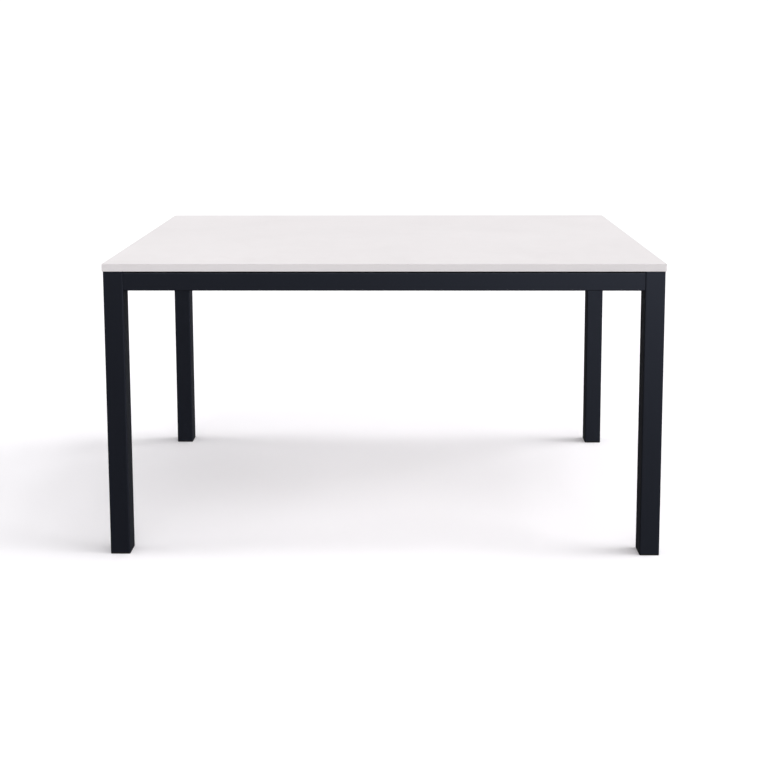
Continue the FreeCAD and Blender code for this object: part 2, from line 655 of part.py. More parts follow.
def make_leg_bolt():
    """Hexagon-head bolt that pulls the leg into the corner."""
    body = new_body("leg_bolt")
    head = new_sketch(body, "head", "XY_Plane")
    draw_hexagon(head, "Sizes.leg_bolt_head_width")
    pad(body, head, "Sizes.leg_bolt_head_height")
    shank = new_sketch(body, "shank", "XY_Plane")
    draw_circle(shank, "0", "0", "Sizes.leg_bolt_diameter")
    pad(body, shank, "Sizes.leg_bolt_length", downwards=True)
    return body


def make_washer():
    """Flat washer under the head of the leg bolt."""
    body = new_body("leg_bolt_washer")
    ring = new_sketch(body, "ring", "XY_Plane")
    draw_circle(ring, "0", "0", "Sizes.washer_diameter")
    draw_circle(ring, "0", "0", "Sizes.leg_bolt_diameter + 2 * Sizes.bolt_clearance")
    pad(body, ring, "Sizes.washer_thickness")
    return body


def make_board_screw():
    """Pan-head board screw with a cross recess and a point."""
    body = new_body("board_screw")
    profile = new_sketch(body, "profile", "XZ_Plane")
    draw_polygon(profile, [
        ("0", "-Sizes.board_screw_length"),
        ("Sizes.board_screw_diameter / 2", "-(Sizes.board_screw_length - Sizes.board_screw_point)"),
        ("Sizes.board_screw_diameter / 2", "0"),
        ("Sizes.board_screw_head_diameter / 2", "0"),
        ("Sizes.board_screw_head_diameter / 2", "Sizes.board_screw_head_height"),
        ("0", "Sizes.board_screw_head_height"),
    ])
    turned = revolve(body, profile)
    crown = on_level(value("Sizes.board_screw_head_height"))
    dress(body, "Fillet", turned, crown, "Radius", "Sizes.board_screw_head_round")
    recess = new_sketch(body, "recess", "XY_Plane", "Sizes.board_screw_head_height")
    near = "Sizes.board_screw_recess_width / 2"
    far = "Sizes.board_screw_recess_length / 2"
    arm = ((near, near), (near, far), (f"-{near}", far))
    cross = []
    for quarter in range(4):
        for x, y in arm:
            for _ in range(quarter):
                x, y = f"-({y})", x
            cross.append((x, y))
    draw_polygon(recess, cross)
    pocket(body, recess, "Sizes.board_screw_recess_depth", symmetric=False)
    return body


def make_pilot_hole():
    """Hole that a board screw leaves in the board."""
    body = new_body("pilot_hole")
    circle = new_sketch(body, "circle", "XY_Plane")
    draw_circle(circle, "0", "0", "Sizes.board_screw_diameter + 2 * Sizes.thread_clearance")
    pad(body, circle, "Sizes.board_screw_length + Sizes.cut_overrun", downwards=True)
    return body


def group(name, copies):
    """Joins copies into one node without fusing them."""
    compound = doc.addObject("Part::Compound", name)
    compound.Links = copies
    return compound


def copy_to(master, name, rotation, x, y, z):
    """Makes a copy of a piece at a place of its own."""
    copy = doc.addObject("App::Link", name)
    copy.LinkedObject = master
    place(copy, rotation, x, y, z)
    return copy


def corner_copies(name, master, seats):
    """Repeats a fastener on its seats in a corner's frame, at all four corners."""
    cluster = group(f"{name}_cluster", [copy_to(master, f"{name}_seat", *seat) for seat in seats])
    copies = []
    for corner, corner_name in enumerate(CORNER_NAMES):
        copy = doc.addObject("App::Link", f"{name}_{corner_name}")
        copy.LinkedObject = cluster
        place_at_corner(copy, corner)
        copies.append(copy)
    return copies


def side_copies(name, master, seats_on):
    """Repeats a fastener on its seats in a rail's frame, on all four sides."""
    clusters = [
        group(f"{name}_cluster", [copy_to(master, f"{name}_seat", *seat) for seat in seats_on(side)])
        for side in range(2)
    ]
    copies = []
    for side, side_name in enumerate(SIDE_NAMES):
        copy = doc.addObject("App::Link", f"{name}_{side_name}")
        copy.LinkedObject = clusters[side % 2]
        place_on_side(copy, side, RAIL_INSET)
        copies.append(copy)
    return copies


def brace_bolt_seats(level):
    """Seats on both flanges of a brace, at a distance from the rails' outer faces."""
    seats = []
    for distance in BRACE_HOLES:
        seats.append((TOWARDS_Y, distance, level, RAIL_MIDDLE))
        seats.append((TOWARDS_X, level, distance, RAIL_MIDDLE))
    return seats


def bracket_bolt_seats(level):
    """Gives the seats of the bracket bolts on a side, at a distance from the rail's outer face."""
    def seats_on(side):
        return [
            (TOWARDS_Y, f"{share} * {rail_length(side)}", level, BRACKET_BOLT_LEVEL)
            for share in bracket_shares(side).values()
        ]
    return seats_on


def board_screw_seats(side):
    """Seats of the board screws on the brackets of a side, with their heads downwards."""
    return [
        (TOWARDS_FLOOR, f"{share} * {rail_length(side)} + {sign} * Sizes.bracket_screw_spacing / 2",
         BOARD_SCREW_LINE, BRACKET_LOWER_FACE)
        for share in bracket_shares(side).values()
        for sign in (-1, 1)
    ]


def make_fasteners():
    """Bolts, washers, rivet nuts and screws, each kind in one node."""
    leg_seat = (TOWARDS_MIDDLE, LEG_BOLT_SEAT, LEG_BOLT_SEAT, RAIL_MIDDLE)
    keep(group("leg_bolts", corner_copies("leg_bolt", make_leg_bolt(), [leg_seat])))
    washer_seat = (TOWARDS_MIDDLE, WASHER_SEAT, WASHER_SEAT, RAIL_MIDDLE)
    keep(group("leg_bolt_washers", corner_copies("washer", make_washer(), [washer_seat])))
    rail_bolt = make_rail_bolt()
    keep(group("brace_bolts", corner_copies("brace_bolt", rail_bolt, brace_bolt_seats(BRACE_FACE))))
    keep(group("bracket_bolts", side_copies("bracket_bolt", rail_bolt, bracket_bolt_seats(BRACKET_FACE))))
    rivet_nut = make_rivet_nut()
    at_braces = corner_copies("brace_rivet", rivet_nut, brace_bolt_seats(RAIL_BACK))
    at_brackets = side_copies("bracket_rivet", rivet_nut, bracket_bolt_seats("Sizes.rail_thickness"))
    keep(group("rivet_nuts", at_braces + at_brackets))
    keep(group("board_screws", side_copies("board_screw", make_board_screw(), board_screw_seats)))


def make_sheet_of_board(name, level, thickness):
    """One flat layer of the board, inside its edge bands."""
    layer = doc.addObject("Part::Box", name)
    half_x = f"({HALF_LENGTH} - Sizes.edge_band_thickness)"
    half_y = f"({HALF_DEPTH} - Sizes.edge_band_thickness)"
    layer.setExpression("Length", f"2 * {half_x}")
    layer.setExpression("Width", f"2 * {half_y}")
    layer.setExpression("Height", thickness)
    place(layer, UPRIGHT, f"-{half_x}", f"-{half_y}", level)
    return layer


def make_board():
    """Core, face and backing. The screws from below go through the backing into the core."""
    core_level = f"({BOARD_UNDERSIDE} + Sizes.backing_laminate)"
    face_level = f"({core_level} + Sizes.core_thickness)"
    holes = group("pilot_holes", side_copies("pilot", make_pilot_hole(), board_screw_seats))
    keep(make_sheet_of_board("top_face_laminate", face_level, "Sizes.face_laminate"))
    drilled = (
        ("top_core", core_level, "Sizes.core_thickness"),
        ("top_backing_laminate", BOARD_UNDERSIDE, "Sizes.backing_laminate"),
    )
    for name, level, thickness in drilled:
        layer = doc.addObject("Part::Cut", name)
        layer.Base = make_sheet_of_board(f"{name}_blank", level, thickness)
        layer.Tool = holes
        keep(layer)


def make_table():
    """Builds every piece of the table."""
    make_board()
    for side, side_name in enumerate(SIDE_NAMES):
        make_edge_band(side)
        make_rail(side)
        make_strip(side)
        for end, share in bracket_shares(side).items():
            seen_from_front = {"left": "right", "right": "left"}.get(end, end) if side_name == "back" else end
            make_bracket(side, seen_from_front, share)
    for corner in range(len(CORNER_NAMES)):
        make_leg(corner)
        make_plug("leg_cap", corner, LEG_TOP, "Sizes.leg_cap_flange", "Sizes.leg_cap_depth", is_foot=False)
        make_plug("foot_plug", corner, "Sizes.foot_flange", "Sizes.foot_flange", "Sizes.foot_depth", is_foot=True)
        make_nut_block(corner)
        make_brace(corner)
    make_fasteners()
    doc.recompute()


def write_parts():
    """Checks every object, then writes each node to its own file."""
    for item in doc.Objects:
        if "Invalid" in item.State or "Error" in item.State:
            raise RuntimeError(f"{item.Label} failed: {item.State}")
    for node in nodes:
        if node.Shape.isNull() or not node.Shape.isValid():
            raise RuntimeError(f"{node.Label} has no valid shape")
    os.makedirs("parts", exist_ok=True)
    for node in nodes:
        node.Shape.exportStep(f"parts/{node.Label}.step")
        print(node.Label, len(node.Shape.Solids), round(node.Shape.Volume))


sizes = make_sheet()
make_table()
write_parts()
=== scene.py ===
"""Looks of the parsons dining table: finishes, detailed fasteners, studio floor, light and camera."""
import json
import math

import bmesh
import bpy
from bpy.props import FloatProperty, FloatVectorProperty, PointerProperty
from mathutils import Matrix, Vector


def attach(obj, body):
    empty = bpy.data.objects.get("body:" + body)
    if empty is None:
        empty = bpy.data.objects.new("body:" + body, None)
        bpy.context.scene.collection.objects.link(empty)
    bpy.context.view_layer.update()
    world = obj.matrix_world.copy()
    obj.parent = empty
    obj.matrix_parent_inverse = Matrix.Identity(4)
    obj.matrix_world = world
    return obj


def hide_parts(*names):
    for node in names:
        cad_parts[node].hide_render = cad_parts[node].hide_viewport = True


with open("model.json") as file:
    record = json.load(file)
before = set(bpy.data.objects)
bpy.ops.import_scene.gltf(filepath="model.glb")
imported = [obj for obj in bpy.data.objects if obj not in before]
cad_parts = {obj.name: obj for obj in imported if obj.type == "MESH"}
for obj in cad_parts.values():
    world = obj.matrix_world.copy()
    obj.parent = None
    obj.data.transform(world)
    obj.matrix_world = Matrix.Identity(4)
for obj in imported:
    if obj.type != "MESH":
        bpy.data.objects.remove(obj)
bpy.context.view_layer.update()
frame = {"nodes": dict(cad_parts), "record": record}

bl_info = {
    "name": "Parsons dining table",
    "version": (1, 0, 0),
    "blender": (4, 5, 0),
    "location": "View3D > Sidebar > Table",
    "description": "Finishes a table frame and its board, fits its fasteners and sets the studio round it",
    "category": "Object",
}

SLOT_OF = {part["node"]: part["material_slot"] for part in frame["record"]["subparts"]}
BODY = "root"
UP = Vector((0, 0, 1))
DOWN = Vector((0, 0, -1))

# Points closer than this, in metres, are one, and edges bent by more than this angle stay sharp
WELD = 1e-6
SHARP = math.radians(32)

# Facets of a turned head or ring, of a hexagon head's blank, of a shank and of one turn of a thread
ROUND_FACETS = 40
BLANK_FACETS = 48
SHANK_FACETS = 24
THREAD_FACETS = 20

# Sides of a thread's ridge, and steps of a crown's rounding
RIDGE_SIDES = 4
CROWN_STEPS = 7

# Easing of a head's seat, as a share of its crown's rounding
SEAT_EASE = 0.12

# Threads: twice the depth as a share of the diameter, and a bolt tip's chamfer as a share of the depth
BOLT_THREAD = 0.14
SCREW_THREAD = 0.30
TIP_CHAMFER = 0.90

# Hexagon heads: radii of the flat top and the blank as shares of the width, and the chamfer's start as one
# of the height
HEAD_FLAT = 0.47
HEAD_REACH = 0.60
HEAD_SHOULDER = 0.86

# Eased edges as shares of a thickness
WASHER_EASE = 0.15
FLANGE_EASE = 0.30

# Seed of the angle that each fastener was left at
SPIN_SEED = 7

# Lowest roughness of the zinc on fasteners and on plates, and how much rougher it gets
FASTENER_POLISH = 0.22
PLATE_POLISH = 0.34
ZINC_WEAR = 0.16

# Arch of lights over the right end: elevation and width in degrees, and strength
SIDE_ARCH = ((25, 50, 2.06), (54, 11, 0.15), (66, 11, 0.27), (78, 11, 0.18))

# Other lights: bearing from the right end towards the back, elevation and width, in degrees
LIGHT_PLACES = {
    "left_fill": (180, 40, 25),
    "front_fill": (-90, 60, 25),
    "corner_fill": (-45, 45, 25),
    "sheen_light": (-68, 8, 11),
    "end_light": (-135, 5, 10),
    "rim_light": (50, 6, 12),
}


# Sizes and colours


def length(name, description, metres):
    """A length that the sidebar shows in the scene's unit."""
    return FloatProperty(name=name, description=description, default=metres, min=0, precision=5,
                         unit="LENGTH")


def brightness(name, description, level):
    """Strength of a light."""
    return FloatProperty(name=name, description=description, default=level, min=0)


def rotation(name, description, radians):
    """An angle that the sidebar shows in degrees."""
    return FloatProperty(name=name, description=description, default=radians, unit="ROTATION")


def colour(name, description, rgb):
    """A colour that the sidebar shows as a swatch."""
    return FloatVectorProperty(name=name, description=description, default=rgb, min=0, max=1, size=3,
                               subtype="COLOR")


class TableColours(bpy.types.PropertyGroup):
    """Colours of the finishes. Each pair is what one finish wavers between, and the sheen tints a gloss."""

    face_pale: colour("Face, pale", "Paler clouds of the face laminate", (0.750, 0.722, 0.730))
    face_deep: colour("Face, deep", "Deeper clouds of the face laminate", (0.704, 0.674, 0.682))
    # The edge band's colours sit below the face's: the streaks are the band's own, and the drop is painted
    # shade on the front edge.
    edge_pale_painted_shade: colour("Edge, pale", "Paler streaks of the edge band", (0.614, 0.592, 0.594))
    edge_deep_painted_shade: colour("Edge, deep", "Deeper streaks of the edge band", (0.578, 0.556, 0.558))
    backing_pale: colour("Backing, pale", "Paler fibres of the backing sheet", (0.66, 0.64, 0.61))
    backing_deep: colour("Backing, deep", "Deeper fibres of the backing sheet", (0.55, 0.53, 0.50))
    chip_pale: colour("Chips, pale", "Paler chips of the core", (0.60, 0.44, 0.26))
    chip_deep: colour("Chips, deep", "Deeper chips of the core", (0.30, 0.19, 0.09))
    coat_deep: colour("Coat, deep", "Deeper tone of the powder coat", (0.0010, 0.0011, 0.0030))
    coat_pale: colour("Coat, pale", "Paler tone of the powder coat", (0.0016, 0.0017, 0.0038))
    coat_sheen: colour("Coat, sheen", "Tint of the powder coat's gloss", (0.68, 0.76, 1.0))
    plate_cool: colour("Plate, cool", "Bluish tone of the zinc plate", (0.56, 0.59, 0.63))
    plate_warm: colour("Plate, warm", "Yellowish tone of the zinc plate", (0.64, 0.61, 0.53))
    fastener_cool: colour("Fasteners, cool", "Bluish tone of the fasteners", (0.66, 0.69, 0.73))
    fastener_warm: colour("Fasteners, warm", "Yellowish tone of the fasteners", (0.72, 0.69, 0.62))
    plug_deep: colour("Plugs, deep", "Hollows in the grain of the plugs", (0.007, 0.007, 0.008))
    plug_pale: colour("Plugs, pale", "Crests in the grain of the plugs", (0.015, 0.015, 0.016))
    # The strips' near-black tones are partly painted shade: darker than black rubber, they give the dark
    # line in the gap under the board.
    rubber_deep_painted_shade: colour("Strips, deep", "Deeper tone of the soft strips", (0.0015, 0.0015, 0.0015))
    rubber_pale_painted_shade: colour("Strips, pale", "Dusty tone of the soft strips", (0.0040, 0.0038, 0.0036))
    floor_pale: colour("Floor, pale", "Paler tone of the floor", (0.965, 0.949, 0.976))
    floor_deep: colour("Floor, deep", "Deeper tone of the floor", (0.955, 0.939, 0.966))


class FastenerSizes(bpy.types.PropertyGroup):
    """Sizes of the fasteners."""

    rail_bolt: length("Rail bolt", "Thread of the bolts in the rails", 0.006)
    rail_bolt_length: length("Rail bolt length", "Length under the head", 0.014)
    rail_bolt_pitch: length("Rail bolt pitch", "Pitch of that thread", 0.001)
    rail_bolt_head: length("Rail bolt head", "Diameter of the button head", 0.0105)
    rail_bolt_head_height: length("Button height", "Height of the button head", 0.0033)
    rail_bolt_round: length("Button rounding", "Rounding of the button head", 0.0024)
    rail_bolt_socket: length("Socket", "Hexagon socket across its flats", 0.004)
    rail_bolt_socket_depth: length("Socket depth", "Depth of the socket", 0.002)
    leg_bolt: length("Leg bolt", "Thread of the bolts in the legs", 0.008)
    leg_bolt_length: length("Leg bolt length", "Length under the head", 0.035)
    leg_bolt_pitch: length("Leg bolt pitch", "Pitch of that thread", 0.00125)
    leg_bolt_head: length("Leg bolt head", "Hexagon head across its flats", 0.013)
    leg_bolt_head_height: length("Hexagon height", "Height of the hexagon head", 0.0053)
    washer: length("Washer", "Outer diameter of the washer", 0.016)
    washer_bore: length("Washer bore", "Inner diameter of the washer", 0.0086)
    washer_thickness: length("Washer thickness", "Thickness of the washer", 0.0016)
    board_screw: length("Board screw", "Thread of the board screws", 0.0045)
    board_screw_length: length("Board screw length", "Length under the head", 0.016)
    board_screw_point: length("Board screw point", "Length of the point", 0.004)
    board_screw_pitch: length("Board screw pitch", "Pitch of that thread", 0.0018)
    board_screw_head: length("Board screw head", "Diameter of the pan head", 0.0086)
    board_screw_head_height: length("Pan height", "Height of the pan head", 0.0028)
    board_screw_round: length("Pan rounding", "Rounding of the pan head", 0.002)
    recess_length: length("Recess", "Cross recess, end to end", 0.0046)
    recess_width: length("Recess slot", "Width of the recess's slots", 0.001)
    recess_depth: length("Recess depth", "Depth of the recess", 0.0016)
    rivet_barrel: length("Rivet barrel", "Diameter of the rivet nut's barrel", 0.009)
    rivet_bore: length("Rivet bore", "Bore of the rivet nut", 0.0061)
    rivet_length: length("Rivet length", "Rivet nut behind its flange", 0.014)
    rivet_flange: length("Rivet flange", "Diameter of the rivet nut's flange", 0.012)
    rivet_flange_thickness: length("Flange thickness", "Thickness of that flange", 0.0008)
    rivet_bulge: length("Rivet bulge", "Diameter of the set bulge", 0.0115)
    rivet_bulge_length: length("Bulge length", "Length of the set bulge", 0.003)
    rail_wall: length("Rail wall", "Wall that the rivet nut grips", 0.002)


class StageSettings(bpy.types.PropertyGroup):
    """Floor, light and camera of the studio."""

    floor_reach: length("Floor", "Middle of the floor to its edge", 40)
    ceiling: brightness("Ceiling", "Light from the upper part of the room", 0.55)
    walls: brightness("Walls", "Dim light from the room's sides", 0.051)
    wall_top: FloatProperty(name="Wall top", description="Upward part of a ray that meets the ceiling",
                            default=0.35)
    backdrop: brightness("Backdrop", "Brightness behind the floor", 1.1)
    side_arch: brightness("Side arch", "Scale of the arch on the right", 1.0)
    left_fill: brightness("Left fill", "Soft light from the left", 0.45)
    front_fill: brightness("Front fill", "Soft light from the front", 0.33)
    corner_fill: brightness("Corner fill", "Soft light from the front right", 0.24)
    sheen_light: brightness("Sheen light", "Low light that glints on the frame", 0.59)
    end_light: brightness("End light", "Low light at the front left", 0.11)
    rim_light: brightness("Rim light", "Low light behind the table", 0.25)
    lens: FloatProperty(name="Lens", description="Focal length", default=51.91, min=1, unit="CAMERA")
    pitch: rotation("Pitch", "Camera below the horizon", math.radians(6.0))
    tilt: rotation("Tilt", "Camera leant to its right", 0.0023)
    turn: rotation("Turn", "Camera turned to the left", 0.0125)
    station: FloatVectorProperty(name="Station", description="Place of the camera", size=3,
                                 default=(0.0492, -3.152, 1.238), subtype="TRANSLATION", unit="LENGTH")
    shift_x: FloatProperty(name="Shift across", description="Frame moved across", default=-0.0066)
    shift_y: FloatProperty(name="Shift up", description="Frame moved up", default=-0.2630)


# Node trees


def add(tree, kind, inputs=None, **options):
    """Adds a node, sets its options, and fills or links its inputs."""
    made = tree.nodes.new(kind)
    for name, option in options.items():
        setattr(made, name, option)
    for key, given in (inputs or {}).items():
        for value in given if isinstance(given, list) else [given]:
            if isinstance(value, bpy.types.NodeSocket):
                tree.links.new(value, made.inputs[key])
            else:
                made.inputs[key].default_value = value
    return made


def reckon(tree, operation, first, second=0.0, third=0.0):
    """Works out one sum in a tree."""
    return add(tree, "ShaderNodeMath", {0: first, 1: second, 2: third}, operation=operation).outputs[0]


def part_of(tree, start, size, share):
    """Start plus a share of a size."""
    return reckon(tree, "MULTIPLY_ADD", size, share, start)


# Finishes


def new_finish(name):
    """Starts a finish and gives its material, tree, shader and the place that its patterns read."""
    material = bpy.data.materials.new(name)
    material.use_nodes = True
    tree = material.node_tree
    place = add(tree, "ShaderNodeTexCoord").outputs["Object"]
    return material, tree, tree.nodes["Principled BSDF"], place


def stretched(tree, place, scale):
    """The place, scaled by its own amount along each axis."""
    return add(tree, "ShaderNodeMapping", {"Vector": place, "Scale": scale}).outputs[0]


def noise(tree, place, scale=1.0, detail=2.0, roughness=0.5, distortion=0.0):
    """Soft irregular pattern between 0 and 1."""
    return add(tree, "ShaderNodeTexNoise", {
        "Vector": place, "Scale": scale, "Detail": detail, "Roughness": roughness, "Distortion": distortion,
    }).outputs[0]


def cells(tree, place, scale, feature="F1", output="Distance"):
    """Pattern of cells: the distance to the nearest one or a colour for each."""
    pattern = add(tree, "ShaderNodeTexVoronoi", {"Vector": place, "Scale": scale}, feature=feature)
    return pattern.outputs[output]


def mingle(tree, first, second, share):
    """Two patterns added up, the first with its share and the second with the rest."""
    return reckon(tree, "MULTIPLY_ADD", first, share, reckon(tree, "MULTIPLY", second, 1 - share))


def spread(tree, pattern, low=0.0, high=1.0, start=0.3, end=0.7):
    """Maps the useful part of a pattern, from start to end, to a range."""
    return add(tree, "ShaderNodeMapRange", {
        "Value": pattern, "From Min": start, "From Max": end, "To Min": low, "To Max": high,
    }).outputs[0]


def blend(tree, factor, first, second):
    """Colour between two others."""
    sockets = {0: factor}
    for index, given in ((6, first), (7, second)):
        sockets[index] = given if isinstance(given, bpy.types.NodeSocket) else (*given, 1)
    return add(tree, "ShaderNodeMix", sockets, data_type="RGBA").outputs[2]


def relief(tree, shader, height, depth, strength):
    """Raises a pattern on the surface by a depth in metres."""
    bump = add(tree, "ShaderNodeBump", {"Strength": strength, "Distance": depth, "Height": height})
    tree.links.new(bump.outputs[0], shader.inputs["Normal"])


def dress(tree, shader, base, roughness, specular=0.5, metallic=0.0):
    """Links a finish's colour and roughness, and sets what is the same all over it."""
    tree.links.new(base, shader.inputs["Base Color"])
    tree.links.new(roughness, shader.inputs["Roughness"])
    shader.inputs["Specular IOR Level"].default_value = specular
    shader.inputs["Metallic"].default_value = metallic


def face_laminate(colours):
    """Matte off-white laminate with faint mineral clouds and a fine, dry touch."""
    material, tree, shader, place = new_finish("off_white_laminate")
    clouds = noise(tree, place, scale=3.4, detail=5, roughness=0.55, distortion=0.5)
    mottle = noise(tree, place, scale=34, detail=5, roughness=0.6)
    grains = noise(tree, place, scale=900)
    dust = noise(tree, place, scale=2600)
    mixed = mingle(tree, mottle, clouds, share=0.45)
    tone = blend(tree, spread(tree, mixed), colours.face_deep, colours.face_pale)
    flecks = spread(tree, grains, high=0.35, start=0.62, end=0.78)
    base = blend(tree, flecks, tone, colours.face_deep)
    dress(tree, shader, base, spread(tree, mottle, low=0.50, high=0.60), specular=0.35)
    relief(tree, shader, reckon(tree, "ADD", grains, dust), depth=0.00004, strength=0.5)
    return material


def edge_band(colours):
    """Off-white plastic band, drawn along its length; its colours sit below the face's as painted shade on
    the front edge.
    """
    material, tree, shader, place = new_finish("edge_band_plastic")
    streaks = noise(tree, stretched(tree, place, (14, 14, 900)), detail=4)
    clouds = noise(tree, place, scale=5, detail=4)
    mixed = mingle(tree, streaks, clouds, share=0.5)
    base = blend(tree, spread(tree, mixed), colours.edge_deep_painted_shade, colours.edge_pale_painted_shade)
    dress(tree, shader, base, spread(tree, streaks, low=0.42, high=0.52), specular=0.4)
    relief(tree, shader, streaks, depth=0.00003, strength=0.5)
    return material


def backing_sheet(colours):
    """Plain backing sheet in which the paper's fibres show."""
    material, tree, shader, place = new_finish("backing_paper")
    fibres = noise(tree, stretched(tree, place, (60, 420, 60)), detail=4, distortion=1.2)
    clouds = noise(tree, place, scale=9, detail=4)
    mixed = mingle(tree, fibres, clouds, share=0.6)
    base = blend(tree, spread(tree, mixed), colours.backing_deep, colours.backing_pale)
    dress(tree, shader, base, spread(tree, fibres, low=0.62, high=0.78), specular=0.3)
    relief(tree, shader, fibres, depth=0.00005, strength=0.5)
    return material


def chipboard(colours):
    """Raw chipboard: flat chips of several browns, pressed together."""
    material, tree, shader, place = new_finish("chipboard")
    lying = stretched(tree, place, (1, 1, 2.5))
    chips = cells(tree, lying, scale=260, output="Color")
    gaps = cells(tree, lying, scale=260, feature="DISTANCE_TO_EDGE")
    grain = noise(tree, stretched(tree, place, (300, 300, 1500)), detail=3)
    shade = add(tree, "ShaderNodeSeparateColor", {0: chips}).outputs[0]
    mixed = mingle(tree, grain, shade, share=0.35)
    base = blend(tree, spread(tree, mixed, start=0.1, end=0.9), colours.chip_deep, colours.chip_pale)
    dress(tree, shader, base, spread(tree, grain, low=0.75, high=0.9), specular=0.2)
    relief(tree, shader, spread(tree, gaps, start=0, end=0.12), depth=0.0002, strength=0.7)
    return material


def powder_coat(colours):
    """Satin near-black powder coat with the soft orange peel of baked powder."""
    material, tree, shader, place = new_finish("powder_coat")
    tone = noise(tree, place, scale=6, detail=3)
    peel = noise(tree, place, scale=620, detail=1)
    grit = noise(tree, place, scale=3600)
    mixed = mingle(tree, grit, tone, share=0.5)
    base = blend(tree, spread(tree, mixed), colours.coat_deep, colours.coat_pale)
    dress(tree, shader, base, spread(tree, peel, low=0.40, high=0.50), specular=0.85)
    shader.inputs["Specular Tint"].default_value = (*colours.coat_sheen, 1)
    relief(tree, shader, part_of(tree, peel, grit, share=0.25), depth=0.00006, strength=0.6)
    return material


def zinc(name, cool, warm, polish):
    """Zinc plate: bluish and yellowish patches, faint rolling lines and fine pits."""
    material, tree, shader, place = new_finish(name)
    patches = noise(tree, place, scale=45, detail=4, distortion=0.8)
    lines = noise(tree, stretched(tree, place, (1400, 1400, 90)))
    pits = noise(tree, place, scale=2800)
    base = blend(tree, spread(tree, patches), cool, warm)
    wear = mingle(tree, lines, patches, share=0.5)
    dress(tree, shader, base, spread(tree, wear, low=polish, high=polish + ZINC_WEAR), metallic=0.65)
    relief(tree, shader, reckon(tree, "ADD", lines, pits), depth=0.00002, strength=0.5)
    return material


def grained_plastic(colours):
    """Black moulding with a fine leathery grain."""
    material, tree, shader, place = new_finish("grained_plastic")
    grain = cells(tree, place, scale=1500, feature="SMOOTH_F1")
    haze = noise(tree, place, scale=70, detail=3)
    mixed = mingle(tree, grain, haze, share=0.6)
    base = blend(tree, spread(tree, mixed, start=0.1), colours.plug_pale, colours.plug_deep)
    dress(tree, shader, base, spread(tree, haze, low=0.52, high=0.66), specular=0.35)
    relief(tree, shader, grain, depth=-0.00006, strength=0.6)
    return material


def soft_rubber(colours):
    """Dull black rubber with a little dust; its near-black tone is also painted shade, darkening the gap
    under the board like its shadow.
    """
    material, tree, shader, place = new_finish("soft_rubber")
    dust = noise(tree, place, scale=420, detail=4)
    base = blend(tree, spread(tree, dust), colours.rubber_deep_painted_shade, colours.rubber_pale_painted_shade)
    dress(tree, shader, base, spread(tree, dust, low=0.78, high=0.92), specular=0.25)
    relief(tree, shader, dust, depth=0.00004, strength=0.6)
    return material


def apply_finish(slot, material):
    """Gives a finish to every CAD node of a slot."""
    for node, its_slot in SLOT_OF.items():
        if its_slot == slot:
            frame["nodes"][node].material_slots[0].material = material


# Fasteners


def new_tree(name, sizes):
    """Starts a tree that fits one kind of fastener on its seats, and gives its sockets by name."""
    tree = bpy.data.node_groups.new(name, "GeometryNodeTree")
    tree.interface.new_socket("Seats", in_out="INPUT", socket_type="NodeSocketGeometry")
    tree.interface.new_socket("Finish", in_out="INPUT", socket_type="NodeSocketMaterial")
    for size in sizes:
        tree.interface.new_socket(size, in_out="INPUT", socket_type="NodeSocketFloat").subtype = "DISTANCE"
    tree.interface.new_socket("Fasteners", in_out="OUTPUT", socket_type="NodeSocketGeometry")
    given = tree.nodes.new("NodeGroupInput").outputs
    return tree, {socket.name: socket for socket in given if socket.name}


def turned(tree, corners, facets):
    """Turns a profile of (radius, height) corners about the upright axis, with the outside on its right."""
    rows = len(corners)
    sheet = add(tree, "GeometryNodeMeshGrid", {0: 1.0, 1: 1.0, 2: facets + 1, 3: rows}).outputs[0]
    place = add(tree, "ShaderNodeSeparateXYZ", {0: add(tree, "GeometryNodeInputPosition").outputs[0]})
    row = reckon(tree, "MULTIPLY_ADD", place.outputs[1], rows - 1, rows / 2)
    angle = reckon(tree, "MULTIPLY", place.outputs[0], math.tau)
    profile = []
    for values in zip(*corners):
        choice = add(tree, "GeometryNodeIndexSwitch", {0: row}, data_type="FLOAT")
        while len(choice.index_switch_items) < rows:
            choice.index_switch_items.new()
        for index, value in enumerate(values, 1):
            if isinstance(value, bpy.types.NodeSocket):
                tree.links.new(value, choice.inputs[index])
            else:
                choice.inputs[index].default_value = value
        profile.append(choice.outputs[0])
    radius, height = profile
    point = add(tree, "ShaderNodeCombineXYZ", {
        0: reckon(tree, "MULTIPLY", radius, reckon(tree, "COSINE", angle)),
        1: reckon(tree, "MULTIPLY", radius, reckon(tree, "SINE", angle)),
        2: height,
    }).outputs[0]
    wrapped = add(tree, "GeometryNodeSetPosition", {0: sheet, 2: point}).outputs[0]
    return add(tree, "GeometryNodeMergeByDistance", {0: wrapped, "Distance": WELD}).outputs[0]


def moved(tree, shape, height):
    """Lifts a shape by a height."""
    lift = add(tree, "ShaderNodeCombineXYZ", {2: height}).outputs[0]
    return add(tree, "GeometryNodeTransform", {0: shape, "Translation": lift}).outputs[0]


def half(tree, size):
    """Half of a size."""
    return reckon(tree, "MULTIPLY", size, 0.5)


def minus(tree, size):
    """A size downwards."""
    return reckon(tree, "MULTIPLY", size, -1.0)


def hexagon(tree, width, height):
    """Hexagonal prism about the origin, with its width across the flats."""
    return add(tree, "GeometryNodeMeshCylinder", {
        "Vertices": 6, "Radius": reckon(tree, "DIVIDE", width, math.sqrt(3)), "Depth": height,
    }).outputs[0]


def carved(tree, operation, shape, tools):
    """Cuts tools out of a shape, or keeps what they share."""
    first = {0: shape, 1: tools} if operation == "DIFFERENCE" else {1: [shape, *tools]}
    return add(tree, "GeometryNodeMeshBoolean", first, operation=operation, solver="EXACT").outputs[0]


